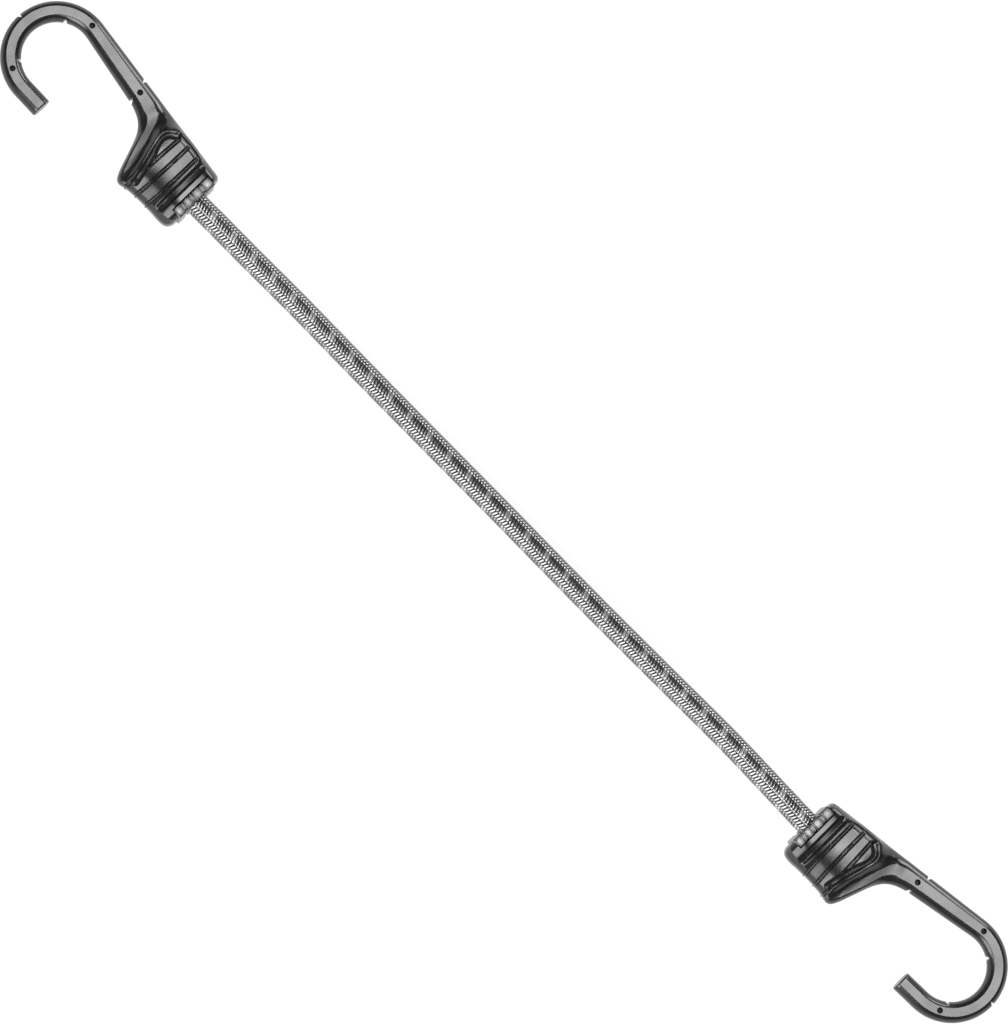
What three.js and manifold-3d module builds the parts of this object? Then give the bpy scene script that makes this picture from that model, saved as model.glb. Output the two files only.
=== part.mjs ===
// A bungee cord: a braided elastic cord with one moulded, steel-cored hook crimped on each end.
// Millimetres, +Z up. The cord runs along X and the part lies flat on the plane z = 0.
// Both hooks are the same moulding. The left one is the right one turned over, which mirrors it,
// because the moulding is the same above and below its mid-plane.
import * as THREE from 'three';
import { mergeVertices } from 'three/addons/utils/BufferGeometryUtils.js';
import Module from 'manifold-3d';

const wasm = await Module();
wasm.setup();

// Overall
const overallLength = 450;
const fitClearance = 0.3;
const cutOverrun = 2;
const weldDistance = 0.0005;

// The hook's arm, in the frame of one hook: x runs from the mouth out along the cord's line,
// y towards the back of the stem, and z from the mid-plane of the moulding
const arcCentreReach = 64.85;
const arcCentreOffset = 1.05;
const crownRadius = 18.5;
const seatRadius = 11.6;
const armThickness = 7;
const tipLegLength = 8.9;
const stemFootReach = 38;
const stemFootWidth = 8.6;
const tipFlare = THREE.MathUtils.degToRad(1.5);
const backLean = THREE.MathUtils.degToRad(7.71);
const throatLean = THREE.MathUtils.degToRad(10.76);
const tipSteps = 1;
const arcSteps = 28;
const stemSteps = 2;

// The ridge that carries the arm on over the shoulder of the body
const ridgeWidth = 6.4;
const ridgeRise = 4.2;

// The body that grips the cord
const bodyThickness = 17;
const bodyReach = 39;
const shoulderWidth = 13.5;
const mouthChamfer = 0.7;
const ribHeight = 0.45;
const ribWidth = 0.9;
const ribPitch = 4.4;
const lowestRibReach = 8.5;
const ribSlant = THREE.MathUtils.degToRad(5);
const ribCount = 3;
const moatDepth = 1;
const moatWidth = 2.1;
const moatSteps = 12;
const lipReach = 5;
const bottomMoatReach = 7.4;
const moatBackEnd = 9.2;

// Marks that the mould's pins leave
const pinHoleDiameter = 2.1;
const notchWidth = 1.6;
const notchDepth = 1.4;
const pinHoleSides = 6;

// The steel core inside the arm
const coreDiameter = 3.2;
const coreTipInset = 3;
const coreSides = 6;

// The cord
const cordDiameter = 8;
const coverWall = 0.7;
const strandDiameter = 1.06;
const strandRingPitch = 1.2;
const strandsPerRing = [1, 6, 12];
const cordSides = 12;
const strandSides = 8;
const cordSteps = 14;

// The crimped ferrule and the mouth collar that keeps it in
const ferruleWall = 0.9;
const ferruleLength = 12;
const ferruleBase = 1.2;
const crimpWidth = 1.6;
const crimpDepth = 0.4;
const roundSides = 16;
const collarReach = 2.6;
const collarStand = 0.4;
const collarWidth = 15.6;
const collarThickness = 13.6;
const collarCorner = 3;
const collarSleeve = 4.1;
const collarSlotWidth = 1.5;
const collarSlotPitch = 4.15;
const collarSlotDepth = 1.1;

// Sizes worked out from the ones above
const hookLength = arcCentreReach + crownRadius;
const mouthReach = overallLength / 2 - hookLength;
const midHeight = bodyThickness / 2;
const cordRadius = cordDiameter / 2;
const boreRadius = cordRadius + fitClearance;
const ferruleRadius = boreRadius + ferruleWall;
const socketRadius = ferruleRadius + fitClearance;
const ferruleStart = collarReach + collarSleeve + fitClearance;
const socketDepth = ferruleStart + ferruleLength + fitClearance;
const coreRadius = coreDiameter / 2;
const arcCentre = new THREE.Vector2(arcCentreReach, arcCentreOffset);
const armRadius = (crownRadius + seatRadius) / 2;

// Materials
const plastic = { color: 0x1d1d1f, roughness: 0.38, metalness: 0 };
const collarPlastic = { color: 0x262628, roughness: 0.45, metalness: 0 };
const steel = { color: 0x9a9c9f, roughness: 0.35, metalness: 1 };
const yarn = { color: 0x3a3c40, roughness: 0.7, metalness: 0 };
const rubber = { color: 0xcdb994, roughness: 0.8, metalness: 0 };

// Booleans on closed meshes
function solidOf(geometry) {
  const bare = geometry.index ? geometry.toNonIndexed() : geometry.clone();
  bare.deleteAttribute('normal');
  bare.deleteAttribute('uv');
  const merged = mergeVertices(bare, weldDistance);
  return new wasm.Manifold(new wasm.Mesh({
    numProp: 3,
    vertProperties: new Float32Array(merged.attributes.position.array),
    triVerts: new Uint32Array(merged.index.array),
  }));
}

function geometryOf(solid) {
  const mesh = solid.getMesh();
  const geometry = new THREE.BufferGeometry();
  geometry.setAttribute('position', new THREE.BufferAttribute(mesh.vertProperties, 3));
  geometry.setIndex(new THREE.BufferAttribute(mesh.triVerts, 1));
  geometry.computeVertexNormals();
  return geometry;
}

// A closed solid lofted through rings. Each ring is one half of a section from its throat side to
// its back side; the other half is its mirror image below the mid-plane.
function loft(halves) {
  const rings = halves.map((half) => {
    const below = half.slice(1, -1).reverse().map((p) => new THREE.Vector3(p.x, p.y, -p.z));
    return [...half, ...below];
  });
  const count = rings[0].length;
  const index = [];
  for (let r = 0; r < rings.length - 1; r += 1) {
    for (let i = 0; i < count; i += 1) {
      const a = r * count + i;
      const b = r * count + ((i + 1) % count);
      index.push(a, b, b + count, a, b + count, a + count);
    }
  }
  const last = (rings.length - 1) * count;
  for (let i = 0; i < count / 2; i += 1) {
    const a = i;
    const b = i + 1;
    const c = count - 1 - i;
    const d = (count - i) % count;
    if (b !== c) index.push(a, c, b, last + a, last + b, last + c);
    if (d !== a) index.push(a, d, c, last + a, last + c, last + d);
  }
  const geometry = new THREE.BufferGeometry();
  const flat = rings.flat().flatMap((p) => [p.x, p.y, p.z]);
  geometry.setAttribute('position', new THREE.BufferAttribute(new Float32Array(flat), 3));
  geometry.setIndex(index);
  return outward(geometry);
}

// The same mesh with its faces pointing out
function outward(geometry) {
  const at = geometry.attributes.position;
  const index = geometry.index.array;
  const [a, b, c] = [new THREE.Vector3(), new THREE.Vector3(), new THREE.Vector3()];
  let volume = 0;
  for (let i = 0; i < index.length; i += 3) {
    a.fromBufferAttribute(at, index[i]);
    b.fromBufferAttribute(at, index[i + 1]);
    c.fromBufferAttribute(at, index[i + 2]);
    volume += a.dot(b.cross(c));
  }
  if (volume < 0) {
    for (let i = 0; i < index.length; i += 3) {
      [index[i + 1], index[i + 2]] = [index[i + 2], index[i + 1]];
    }
  }
  return geometry;
}

// Outlines in the hook's frame
const onArc = (radius, angle) => new THREE.Vector2(
  arcCentre.x + radius * Math.cos(angle),
  arcCentre.y + radius * Math.sin(angle),
);
const tipAngle = tipFlare - Math.PI / 2;
const backAngle = Math.PI / 2 + backLean;
const throatAngle = Math.PI / 2 + throatLean;
const backTangent = onArc(crownRadius, backAngle);
const throatTangent = onArc(seatRadius, throatAngle);

// The straight outer edge, from the arc down to the mouth, and the throat side of the stem
const backEdge = (x) => backTangent.y + (x - backTangent.x) * Math.tan(backLean);
const throatEdge = (x) => throatTangent.y + (x - throatTangent.x) * Math.tan(throatLean);
const backPoint = (x) => new THREE.Vector2(x, backEdge(x));
const throatFoot = new THREE.Vector2(stemFootReach, throatEdge(stemFootReach));
const backFoot = backPoint(stemFootReach - stemFootWidth * Math.sin(throatLean));

// Half a section of the arm: rounded sides and a flat land, as shares of its width and height
const armSectionShares = [
  [0, 0], [0.03, 0.5], [0.13, 0.84], [0.27, 1], [0.73, 1], [0.87, 0.84], [0.97, 0.5], [1, 0],
];

function halfSection(throat, back, height, shares) {
  return shares.map(([across, up]) => new THREE.Vector3(
    THREE.MathUtils.lerp(throat.x, back.x, across),
    THREE.MathUtils.lerp(throat.y, back.y, across),
    height * up,
  ));
}

// The ridge's centre line over the shoulder, as shares of the body's reach and shoulder width,
// with its height as a share of its rise
const ridgeShares = [
  [0.85, 0.82, 0], [0.745, 0.675, 0.28], [0.685, 0.465, 0.68], [0.643, 0.215, 0.9],
  [0.6, -0.12, 1], [0.575, -0.355, 0.9], [0.545, -0.56, 0.6],
];

function armSections() {
  const halfArm = armThickness / 2;
  const sections = [];
  const add = (throat, back, height) => {
    sections.push(halfSection(throat, back, height, armSectionShares));
  };
  const alongLeg = new THREE.Vector2(Math.cos(tipFlare), Math.sin(tipFlare));
  for (let i = 0; i < tipSteps; i += 1) {
    const toGo = tipLegLength * (1 - i / tipSteps);
    const throat = onArc(seatRadius, tipAngle).addScaledVector(alongLeg, -toGo);
    const back = onArc(crownRadius, tipAngle).addScaledVector(alongLeg, -toGo);
    add(throat, back, halfArm);
  }
  for (let i = 0; i <= arcSteps; i += 1) {
    const share = i / arcSteps;
    const throat = onArc(seatRadius, THREE.MathUtils.lerp(tipAngle, throatAngle, share));
    const back = onArc(crownRadius, THREE.MathUtils.lerp(tipAngle, backAngle, share));
    add(throat, back, halfArm);
  }
  for (let i = 1; i <= stemSteps; i += 1) {
    const share = i / stemSteps;
    const throat = throatTangent.clone().lerp(throatFoot, share);
    const back = backTangent.clone().lerp(backFoot, share);
    add(throat, back, halfArm);
  }
  const footCentre = throatFoot.clone().add(backFoot).multiplyScalar(0.5);
  const route = ridgeShares.map(([along, across, up]) => new THREE.Vector3(
    along * bodyReach,
    across * shoulderWidth,
    halfArm + up * ridgeRise,
  ));
  const line = new THREE.CatmullRomCurve3([
    new THREE.Vector3(footCentre.x, footCentre.y, halfArm),
    ...route,
  ]);
  const ridgeSteps = 2 * ridgeShares.length;
  for (let i = 1; i <= ridgeSteps; i += 1) {
    const share = i / ridgeSteps;
    const at = line.getPoint(share);
    const heading = line.getTangent(share);
    const side = new THREE.Vector2(heading.y, -heading.x).normalize();
    const half = THREE.MathUtils.lerp(stemFootWidth, ridgeWidth, share) / 2;
    const centre = new THREE.Vector2(at.x, at.y);
    const throat = centre.clone().addScaledVector(side, -half);
    const back = centre.clone().addScaledVector(side, half);
    add(throat, back, at.z);
  }
  return sections;
}

// Half sections of the body: the flat lip at the mouth, the grip with its rim, and the neck
const lipSectionShares = [
  [0, 0], [0.012, 0.3], [0.06, 0.6], [0.15, 0.83], [0.25, 1], [0.38, 1],
  [0.5, 1], [0.68, 1], [0.8, 1], [0.86, 0.9], [0.93, 0.8], [1, 0],
];
const gripSectionShares = [
  [0, 0], [0.012, 0.27], [0.06, 0.53], [0.15, 0.76], [0.26, 0.91], [0.38, 0.98],
  [0.5, 1], [0.66, 0.985], [0.8, 0.89], [0.84, 0.85], [0.93, 0.82], [1, 0],
];
const neckSectionShares = [
  [0, 0], [0.015, 0.3], [0.06, 0.58], [0.14, 0.8], [0.24, 0.92], [0.36, 0.98],
  [0.48, 1], [0.6, 0.98], [0.72, 0.92], [0.82, 0.8], [0.93, 0.5], [1, 0],
];

// Stations of the body from the mouth to the neck. Each gives the throat-side point as shares of
// the body's reach and shoulder width, the back-edge point as a share of the reach, the height as
// a share of half the body's thickness, and how far the section has gone from lip to grip to neck.
const bodyStationShares = [
  [0.016, -0.84, 0.016, 0.95, 0],
  [0.045, -0.91, 0.045, 0.99, 0],
  [0.09, -0.927, 0.09, 1, 0],
  [0.145, -0.933, 0.145, 1, 0],
  [0.195, -0.905, 0.195, 0.94, 0.7],
  [0.32, -0.9, 0.32, 0.947, 1],
  [0.43, -0.918, 0.43, 0.947, 1],
  [0.5, -0.965, 0.5, 0.935, 1],
  [0.548, -1, 0.55, 0.92, 1],
  [0.578, -0.975, 0.58, 0.9, 1.1],
  [0.61, -0.89, 0.62, 0.87, 1.2],
  [0.636, -0.76, 0.655, 0.83, 1.35],
  [0.662, -0.53, 0.69, 0.76, 1.5],
  [0.69, -0.25, 0.73, 0.66, 1.65],
  [0.72, -0.06, 0.77, 0.54, 1.8],
  [0.75, 0.16, 0.81, 0.45, 1.9],
  [0.785, 0.33, 0.85, 0.39, 2],
  [0.83, 0.43, 0.89, 0.36, 2],
  [0.88, 0.51, 0.93, 0.345, 2],
  [0.96, 0.562, 1, 0.33, 2],
];
const blend = (from, to, share) => from.map(([across, up], i) => [
  THREE.MathUtils.lerp(across, to[i][0], share),
  THREE.MathUtils.lerp(up, to[i][1], share),
]);

function bodySections(inset) {
  return bodyStationShares.map(([along, across, backAlong, up, kind]) => {
    const throat = new THREE.Vector2(along * bodyReach, across * shoulderWidth + inset);
    const back = backPoint(backAlong * bodyReach);
    back.y -= inset;
    const shares = kind <= 1
      ? blend(lipSectionShares, gripSectionShares, kind)
      : blend(gripSectionShares, neckSectionShares, kind - 1);
    return halfSection(throat, back, midHeight * up - inset, shares);
  });
}

// The whole body, with a chamfer round its mouth
function body() {
  const sections = bodySections(0);
  const mouth = sections[0].map((p) => new THREE.Vector3(
    0,
    p.y - Math.sign(p.y) * Math.min(mouthChamfer, Math.abs(p.y)),
    Math.max(0, p.z - mouthChamfer),
  ));
  return solidOf(loft([mouth, ...sections]));
}

// A flat outline in the hook's frame, extruded between two heights
function plate(points, low, high) {
  const geometry = new THREE.ExtrudeGeometry(new THREE.Shape(points), {
    depth: high - low,
    bevelEnabled: false,
    curveSegments: 1,
  });
  geometry.translate(0, 0, low);
  return solidOf(geometry);
}

// A round bar along the cord's line
function bar(radius, from, to, sides) {
  const geometry = new THREE.CylinderGeometry(radius, radius, to - from, sides);
  geometry.rotateZ(-Math.PI / 2);
  geometry.translate((from + to) / 2, 0, 0);
  return solidOf(geometry);
}

// Ribs lie across the grip, proud of it, and end in the rim at the back
const ribStation = bodyStationShares[5];
const ribEndShare = 0.8;

function ribs() {
  const shares = gripSectionShares.filter(([across]) => across <= ribEndShare);
  const throatSide = ribStation[1] * shoulderWidth - ribHeight;
  const height = midHeight * ribStation[3] + ribHeight;
  return Array.from({ length: ribCount }, (_, place) => {
    const slices = [0, ribWidth].map((step) => {
      const backX = lowestRibReach + place * ribPitch + step;
      const back = backPoint(backX);
      const slant = (back.y - throatSide) * Math.tan(ribSlant);
      const throat = new THREE.Vector2(backX + slant, throatSide);
      const half = halfSection(throat, back, height, shares);
      const end = half.at(-1);
      return [...half, new THREE.Vector3(end.x, end.y, 0)];
    });
    return solidOf(loft(slices));
  });
}

// Moats part the grip from the shoulder and from the lip. They run at an even depth under the
// surface. The upper one's line is given as shares of the body's reach and shoulder width.
const moatShares = [
  [0.515, 0.745], [0.547, 0.66], [0.575, 0.4], [0.548, 0.03], [0.515, -0.46], [0.486, -0.8],
];
const moatThroatShare = 0.8;

function moats() {
  const line = new THREE.SplineCurve(moatShares.map(([along, across]) => (
    new THREE.Vector2(along * bodyReach, across * shoulderWidth))));
  const upper = [];
  const lower = [];
  for (let i = 0; i <= moatSteps; i += 1) {
    const at = line.getPoint(i / moatSteps);
    const heading = line.getTangent(i / moatSteps);
    const side = new THREE.Vector2(-heading.y, heading.x).multiplyScalar(moatWidth / 2);
    upper.push(at.clone().add(side));
    lower.unshift(at.clone().sub(side));
  }
  const top = midHeight + cutOverrun;
  const farSide = -moatThroatShare * shoulderWidth;
  const bottom = [
    new THREE.Vector2(lipReach, farSide),
    new THREE.Vector2(bottomMoatReach, farSide),
    new THREE.Vector2(bottomMoatReach, moatBackEnd - moatWidth / 4),
    new THREE.Vector2(bottomMoatReach - moatWidth / 4, moatBackEnd),
    new THREE.Vector2(lipReach + moatWidth / 4, moatBackEnd),
    new THREE.Vector2(lipReach, moatBackEnd - moatWidth / 4),
  ];
  const under = solidOf(loft(bodySections(moatDepth)));
  return [[...upper, ...lower], bottom].map((outline) => plate(outline, -top, top).subtract(under));
}

// Where the mould's pins held the steel core: blind holes in the land and notches in the edges
const pinHoleTurns = [-60, 93];
const pinHoleStemShare = 0.98;
const crownNotchTurn = 2;
const seatNotchTurns = [-52, 57];
const degrees = THREE.MathUtils.degToRad;
const armCentre = (angle) => onArc(armRadius, angle);
const stemAlong = (share) => throatTangent.clone().lerp(throatFoot, share)
  .add(backTangent.clone().lerp(backFoot, share)).multiplyScalar(0.5);

function pinHoles() {
  const places = pinHoleTurns.map((turn) => armCentre(degrees(turn)));
  return [...places, stemAlong(pinHoleStemShare)].map((place) => {
    const length = armThickness + 2 * cutOverrun;
    const geometry = new THREE.CylinderGeometry(
      pinHoleDiameter / 2,
      pinHoleDiameter / 2,
      length,
      pinHoleSides,
    );
    geometry.rotateX(Math.PI / 2);
    geometry.translate(place.x, place.y, 0);
    return solidOf(geometry);
  });
}

function notches() {
  const vee = (edge, inward) => {
    const along = new THREE.Vector2(-inward.y, inward.x).multiplyScalar(notchWidth / 2);
    const outside = edge.clone().addScaledVector(inward, -notchDepth);
    const apex = edge.clone().addScaledVector(inward, notchDepth);
    const points = [
      outside.clone().addScaledVector(along, 2),
      outside.clone().addScaledVector(along, -2),
      apex,
    ];
    return plate(points, -armThickness, armThickness);
  };
  const fromCentre = (angle) => new THREE.Vector2(Math.cos(angle), Math.sin(angle));
  const square = new THREE.Vector2(Math.sin(backLean), Math.cos(backLean));
  const crown = degrees(crownNotchTurn);
  return [
    vee(onArc(crownRadius, crown), fromCentre(crown).negate()),
    ...seatNotchTurns.map((turn) => vee(onArc(seatRadius, degrees(turn)), fromCentre(degrees(turn)))),
    vee(throatFoot, square.clone()),
    vee(backPoint(stemFootReach + notchWidth), square.clone().negate()),
  ];
}

// The steel core follows the arm and anchors in the shoulder behind the cord's socket
const coreFootShares = [[0.85, 0.79], [0.76, 0.68], [0.705, 0.5], [0.675, 0.28]];
const coreSteps = 40;

function coreLine(extra) {
  const points = [];
  const alongLeg = new THREE.Vector2(Math.cos(tipFlare), Math.sin(tipFlare));
  points.push(armCentre(tipAngle).addScaledVector(alongLeg, coreTipInset - tipLegLength - extra));
  const arcPoints = 9;
  const stemAngle = (backAngle + throatAngle) / 2;
  for (let i = 0; i <= arcPoints; i += 1) {
    points.push(armCentre(THREE.MathUtils.lerp(tipAngle, stemAngle, i / arcPoints)));
  }
  points.push(stemAlong(1 / 3), stemAlong(2 / 3), stemAlong(1));
  coreFootShares.forEach(([along, across]) => {
    points.push(new THREE.Vector2(along * bodyReach, across * shoulderWidth));
  });
  const end = points.at(-1);
  const heading = end.clone().sub(points.at(-2)).normalize();
  end.addScaledVector(heading, extra);
  return new THREE.CatmullRomCurve3(points.map((p) => new THREE.Vector3(p.x, p.y, 0)));
}

function polygon(radius, sides) {
  return Array.from({ length: sides }, (_, i) => {
    const angle = (i + 0.5) * 2 * Math.PI / sides;
    return new THREE.Vector2(radius * Math.cos(angle), radius * Math.sin(angle));
  });
}

function rodAlong(line, radius, sides, steps) {
  return new THREE.ExtrudeGeometry(new THREE.Shape(polygon(radius, sides)), {
    steps,
    extrudePath: line,
    curveSegments: 1,
  });
}

function mouldingGeometry() {
  let solid = solidOf(loft(armSections())).add(body());
  ribs().forEach((rib) => {
    solid = solid.add(rib);
  });
  const windowBox = new THREE.BoxGeometry(
    collarReach + fitClearance + cutOverrun,
    collarWidth + 2 * fitClearance,
    bodyThickness + 2 * cutOverrun,
  );
  windowBox.translate((collarReach + fitClearance - cutOverrun) / 2, 0, 0);
  const cuts = [
    ...moats(),
    ...pinHoles(),
    ...notches(),
    solidOf(rodAlong(coreLine(fitClearance), coreRadius + fitClearance, coreSides, coreSteps)),
    solidOf(windowBox),
    bar(socketRadius, 0, socketDepth, roundSides),
  ];
  cuts.forEach((cut) => {
    solid = solid.subtract(cut);
  });
  return geometryOf(solid);
}

function coreGeometry() {
  return rodAlong(coreLine(0), coreRadius, coreSides, coreSteps);
}

// The collar fills the mouth between the cheeks of the body. Its sleeve stands in the socket and
// its slotted face shows on both sides.
function collarGeometry() {
  const halfWidth = collarWidth / 2;
  const halfThick = collarThickness / 2;
  const outline = new THREE.Shape();
  outline.moveTo(-halfWidth, -halfThick + collarCorner);
  outline.lineTo(-halfWidth, halfThick - collarCorner);
  outline.quadraticCurveTo(-halfWidth, halfThick, -halfWidth + collarCorner, halfThick);
  outline.lineTo(halfWidth - collarCorner, halfThick);
  outline.quadraticCurveTo(halfWidth, halfThick, halfWidth, halfThick - collarCorner);
  outline.lineTo(halfWidth, -halfThick + collarCorner);
  outline.quadraticCurveTo(halfWidth, -halfThick, halfWidth - collarCorner, -halfThick);
  outline.lineTo(-halfWidth + collarCorner, -halfThick);
  outline.quadraticCurveTo(-halfWidth, -halfThick, -halfWidth, -halfThick + collarCorner);
  const flange = new THREE.ExtrudeGeometry(outline, {
    depth: collarReach + collarStand,
    bevelEnabled: false,
    curveSegments: 4,
  });
  flange.rotateX(Math.PI / 2);
  flange.rotateZ(Math.PI / 2);
  flange.translate(-collarStand, 0, 0);
  let solid = solidOf(flange).add(
    bar(ferruleRadius, collarReach / 2, collarReach + collarSleeve, roundSides),
  );
  solid = solid.subtract(bar(boreRadius, -cutOverrun, ferruleStart + cutOverrun, roundSides));
  [-1, 0, 1].forEach((place) => {
    [-1, 1].forEach((face) => {
      const slot = new THREE.BoxGeometry(
        collarReach + 2 * cutOverrun,
        collarSlotWidth,
        2 * collarSlotDepth,
      );
      slot.translate(collarReach / 2, place * collarSlotPitch, face * halfThick);
      solid = solid.subtract(solidOf(slot));
    });
  });
  return geometryOf(solid);
}

// A steel cup with two crimped grooves, closed behind the cord's end
function ferruleGeometry() {
  const inside = ferruleLength - ferruleBase;
  const grooveSpan = ferruleLength / 3;
  const outer = [[0, ferruleRadius]];
  [1, 2].forEach((place) => {
    const middle = place * grooveSpan;
    outer.push([middle - crimpWidth, ferruleRadius]);
    outer.push([middle - crimpWidth / 2, ferruleRadius - crimpDepth]);
    outer.push([middle + crimpWidth / 2, ferruleRadius - crimpDepth]);
    outer.push([middle + crimpWidth, ferruleRadius]);
  });
  const profile = [
    [0, boreRadius],
    ...outer,
    [ferruleLength, ferruleRadius],
    [ferruleLength, 0],
    [inside, 0],
    [inside, boreRadius],
    [0, boreRadius],
  ].map(([along, radius]) => new THREE.Vector2(radius, along));
  const geometry = new THREE.LatheGeometry(profile, roundSides);
  geometry.rotateZ(-Math.PI / 2);
  geometry.translate(ferruleStart, 0, 0);
  const bare = mergeVertices(stripped(geometry), weldDistance);
  return outward(dropFlat(bare));
}

function stripped(geometry) {
  const bare = geometry.clone();
  bare.deleteAttribute('normal');
  bare.deleteAttribute('uv');
  return bare;
}

// The mesh without the triangles that have shrunk to a line at the axis
function dropFlat(geometry) {
  const kept = [];
  const index = geometry.index.array;
  for (let i = 0; i < index.length; i += 3) {
    const [a, b, c] = [index[i], index[i + 1], index[i + 2]];
    if (a !== b && b !== c && c !== a) kept.push(a, b, c);
  }
  geometry.setIndex(kept);
  return geometry;
}

// The cord's route from the left ferrule to the right one: [x, z]. It leaves each mouth straight,
// comes down by its own weight and lies on the surface.
const cordRoute = [
  [-159.2, 8.5], [-150, 8.5], [-141.7, 8.5], [-133, 8.5], [-124, 8.2], [-114, 7.3], [-103, 6],
  [-92, 4.9], [-80, 4.25], [-66, 4.05], [-45, 4.05], [-22, 4.05], [0, 4.05], [22, 4.05], [45, 4.05],
  [66, 4.05], [80, 4.25], [92, 4.9], [103, 6], [114, 7.3], [124, 8.2], [133, 8.5], [141.7, 8.5],
  [150, 8.5], [159.2, 8.5],
];

function cordLine(sideways, upwards) {
  return new THREE.CatmullRomCurve3(
    cordRoute.map(([x, z]) => new THREE.Vector3(x, sideways, z + upwards)),
  );
}

function coverGeometry() {
  const section = new THREE.Shape(polygon(cordRadius, cordSides));
  section.holes.push(new THREE.Path(polygon(cordRadius - coverWall, cordSides)));
  return new THREE.ExtrudeGeometry(section, {
    steps: cordSteps,
    extrudePath: cordLine(0, 0),
    curveSegments: 1,
  });
}

// Assembly
function part(name, geometry, look) {
  const mesh = new THREE.Mesh(geometry, new THREE.MeshStandardMaterial(look));
  mesh.name = name;
  return mesh;
}

const assembly = new THREE.Group();
const hookPieces = [
  ['hook_moulding', mouldingGeometry(), plastic],
  ['steel_core', coreGeometry(), steel],
  ['mouth_collar', collarGeometry(), collarPlastic],
  ['crimp_ferrule', ferruleGeometry(), steel],
];

['left', 'right'].forEach((side) => {
  const turned = new THREE.Group();
  turned.rotation.y = side === 'left' ? Math.PI : 0;
  turned.position.z = midHeight;
  const placed = new THREE.Group();
  placed.position.x = mouthReach;
  hookPieces.forEach(([name, geometry, look]) => {
    placed.add(part(`${side}_${name}`, geometry, look));
  });
  turned.add(placed);
  assembly.add(turned);
});

assembly.add(part('braided_cover', coverGeometry(), yarn));

let strandNumber = 0;
strandsPerRing.forEach((count, ring) => {
  for (let i = 0; i < count; i += 1) {
    strandNumber += 1;
    const angle = 2 * Math.PI * (i + 0.5) / count;
    const reach = ring * strandRingPitch;
    const line = cordLine(reach * Math.cos(angle), reach * Math.sin(angle));
    const name = `rubber_strand_${String(strandNumber).padStart(2, '0')}`;
    assembly.add(part(name, rodAlong(line, strandDiameter / 2, strandSides, cordSteps), rubber));
  }
});

// The part stands centred over its footprint
assembly.updateMatrixWorld(true);
const footprint = new THREE.Box3().setFromObject(assembly, true);
assembly.position.y = -(footprint.min.y + footprint.max.y) / 2;

export default assembly;
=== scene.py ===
import math

import bpy
import numpy as np
from mathutils import Matrix, Vector


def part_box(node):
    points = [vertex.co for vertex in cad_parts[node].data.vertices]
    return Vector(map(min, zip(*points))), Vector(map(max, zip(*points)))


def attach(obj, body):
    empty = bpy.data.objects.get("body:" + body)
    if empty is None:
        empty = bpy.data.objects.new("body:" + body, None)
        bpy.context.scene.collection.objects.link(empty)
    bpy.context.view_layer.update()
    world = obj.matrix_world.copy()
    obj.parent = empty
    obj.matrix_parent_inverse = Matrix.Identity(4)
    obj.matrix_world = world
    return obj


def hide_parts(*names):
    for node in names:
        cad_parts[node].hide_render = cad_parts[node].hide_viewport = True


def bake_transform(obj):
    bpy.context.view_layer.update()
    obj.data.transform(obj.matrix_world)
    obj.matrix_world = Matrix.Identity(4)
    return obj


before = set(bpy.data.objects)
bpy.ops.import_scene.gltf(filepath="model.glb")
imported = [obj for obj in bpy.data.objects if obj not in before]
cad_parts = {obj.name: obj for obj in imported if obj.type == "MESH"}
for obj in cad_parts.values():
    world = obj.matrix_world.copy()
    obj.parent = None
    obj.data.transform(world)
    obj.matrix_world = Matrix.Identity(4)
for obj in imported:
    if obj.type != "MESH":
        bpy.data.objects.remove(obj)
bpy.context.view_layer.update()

# Camera
# The photograph looks down on the cord from a little short of overhead, with the cord running
# from the top left corner to the bottom right one. The camera is rolled to match.
MM = 0.001
PHOTO_PIXELS = 1008
PIXEL_WIDTH = 0.324 * MM
SENSOR_WIDTH = 36.0
VIEW_DISTANCE = 1.8
VIEW_ELEVATION = math.radians(82.5)
VIEW_ROLL = math.radians(45.45)
AIM = Vector((0, 0, 8.5 * MM))

towards_camera = Vector((0, -math.cos(VIEW_ELEVATION), math.sin(VIEW_ELEVATION)))
level_right = Vector((1, 0, 0))
level_up = towards_camera.cross(level_right)
image_right = level_right * math.cos(VIEW_ROLL) + level_up * math.sin(VIEW_ROLL)
image_up = level_up * math.cos(VIEW_ROLL) - level_right * math.sin(VIEW_ROLL)
bpy.ops.object.camera_add(location=AIM + towards_camera * VIEW_DISTANCE)
camera = bpy.context.object
camera.name = "camera"
camera_turn = Matrix((image_right, image_up, towards_camera)).transposed()
camera.matrix_world = Matrix.Translation(camera.location) @ camera_turn.to_4x4()
camera.data.sensor_fit = "HORIZONTAL"
camera.data.sensor_width = SENSOR_WIDTH
camera.data.lens = VIEW_DISTANCE / PIXEL_WIDTH * SENSOR_WIDTH / PHOTO_PIXELS
bpy.context.scene.camera = camera

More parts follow.
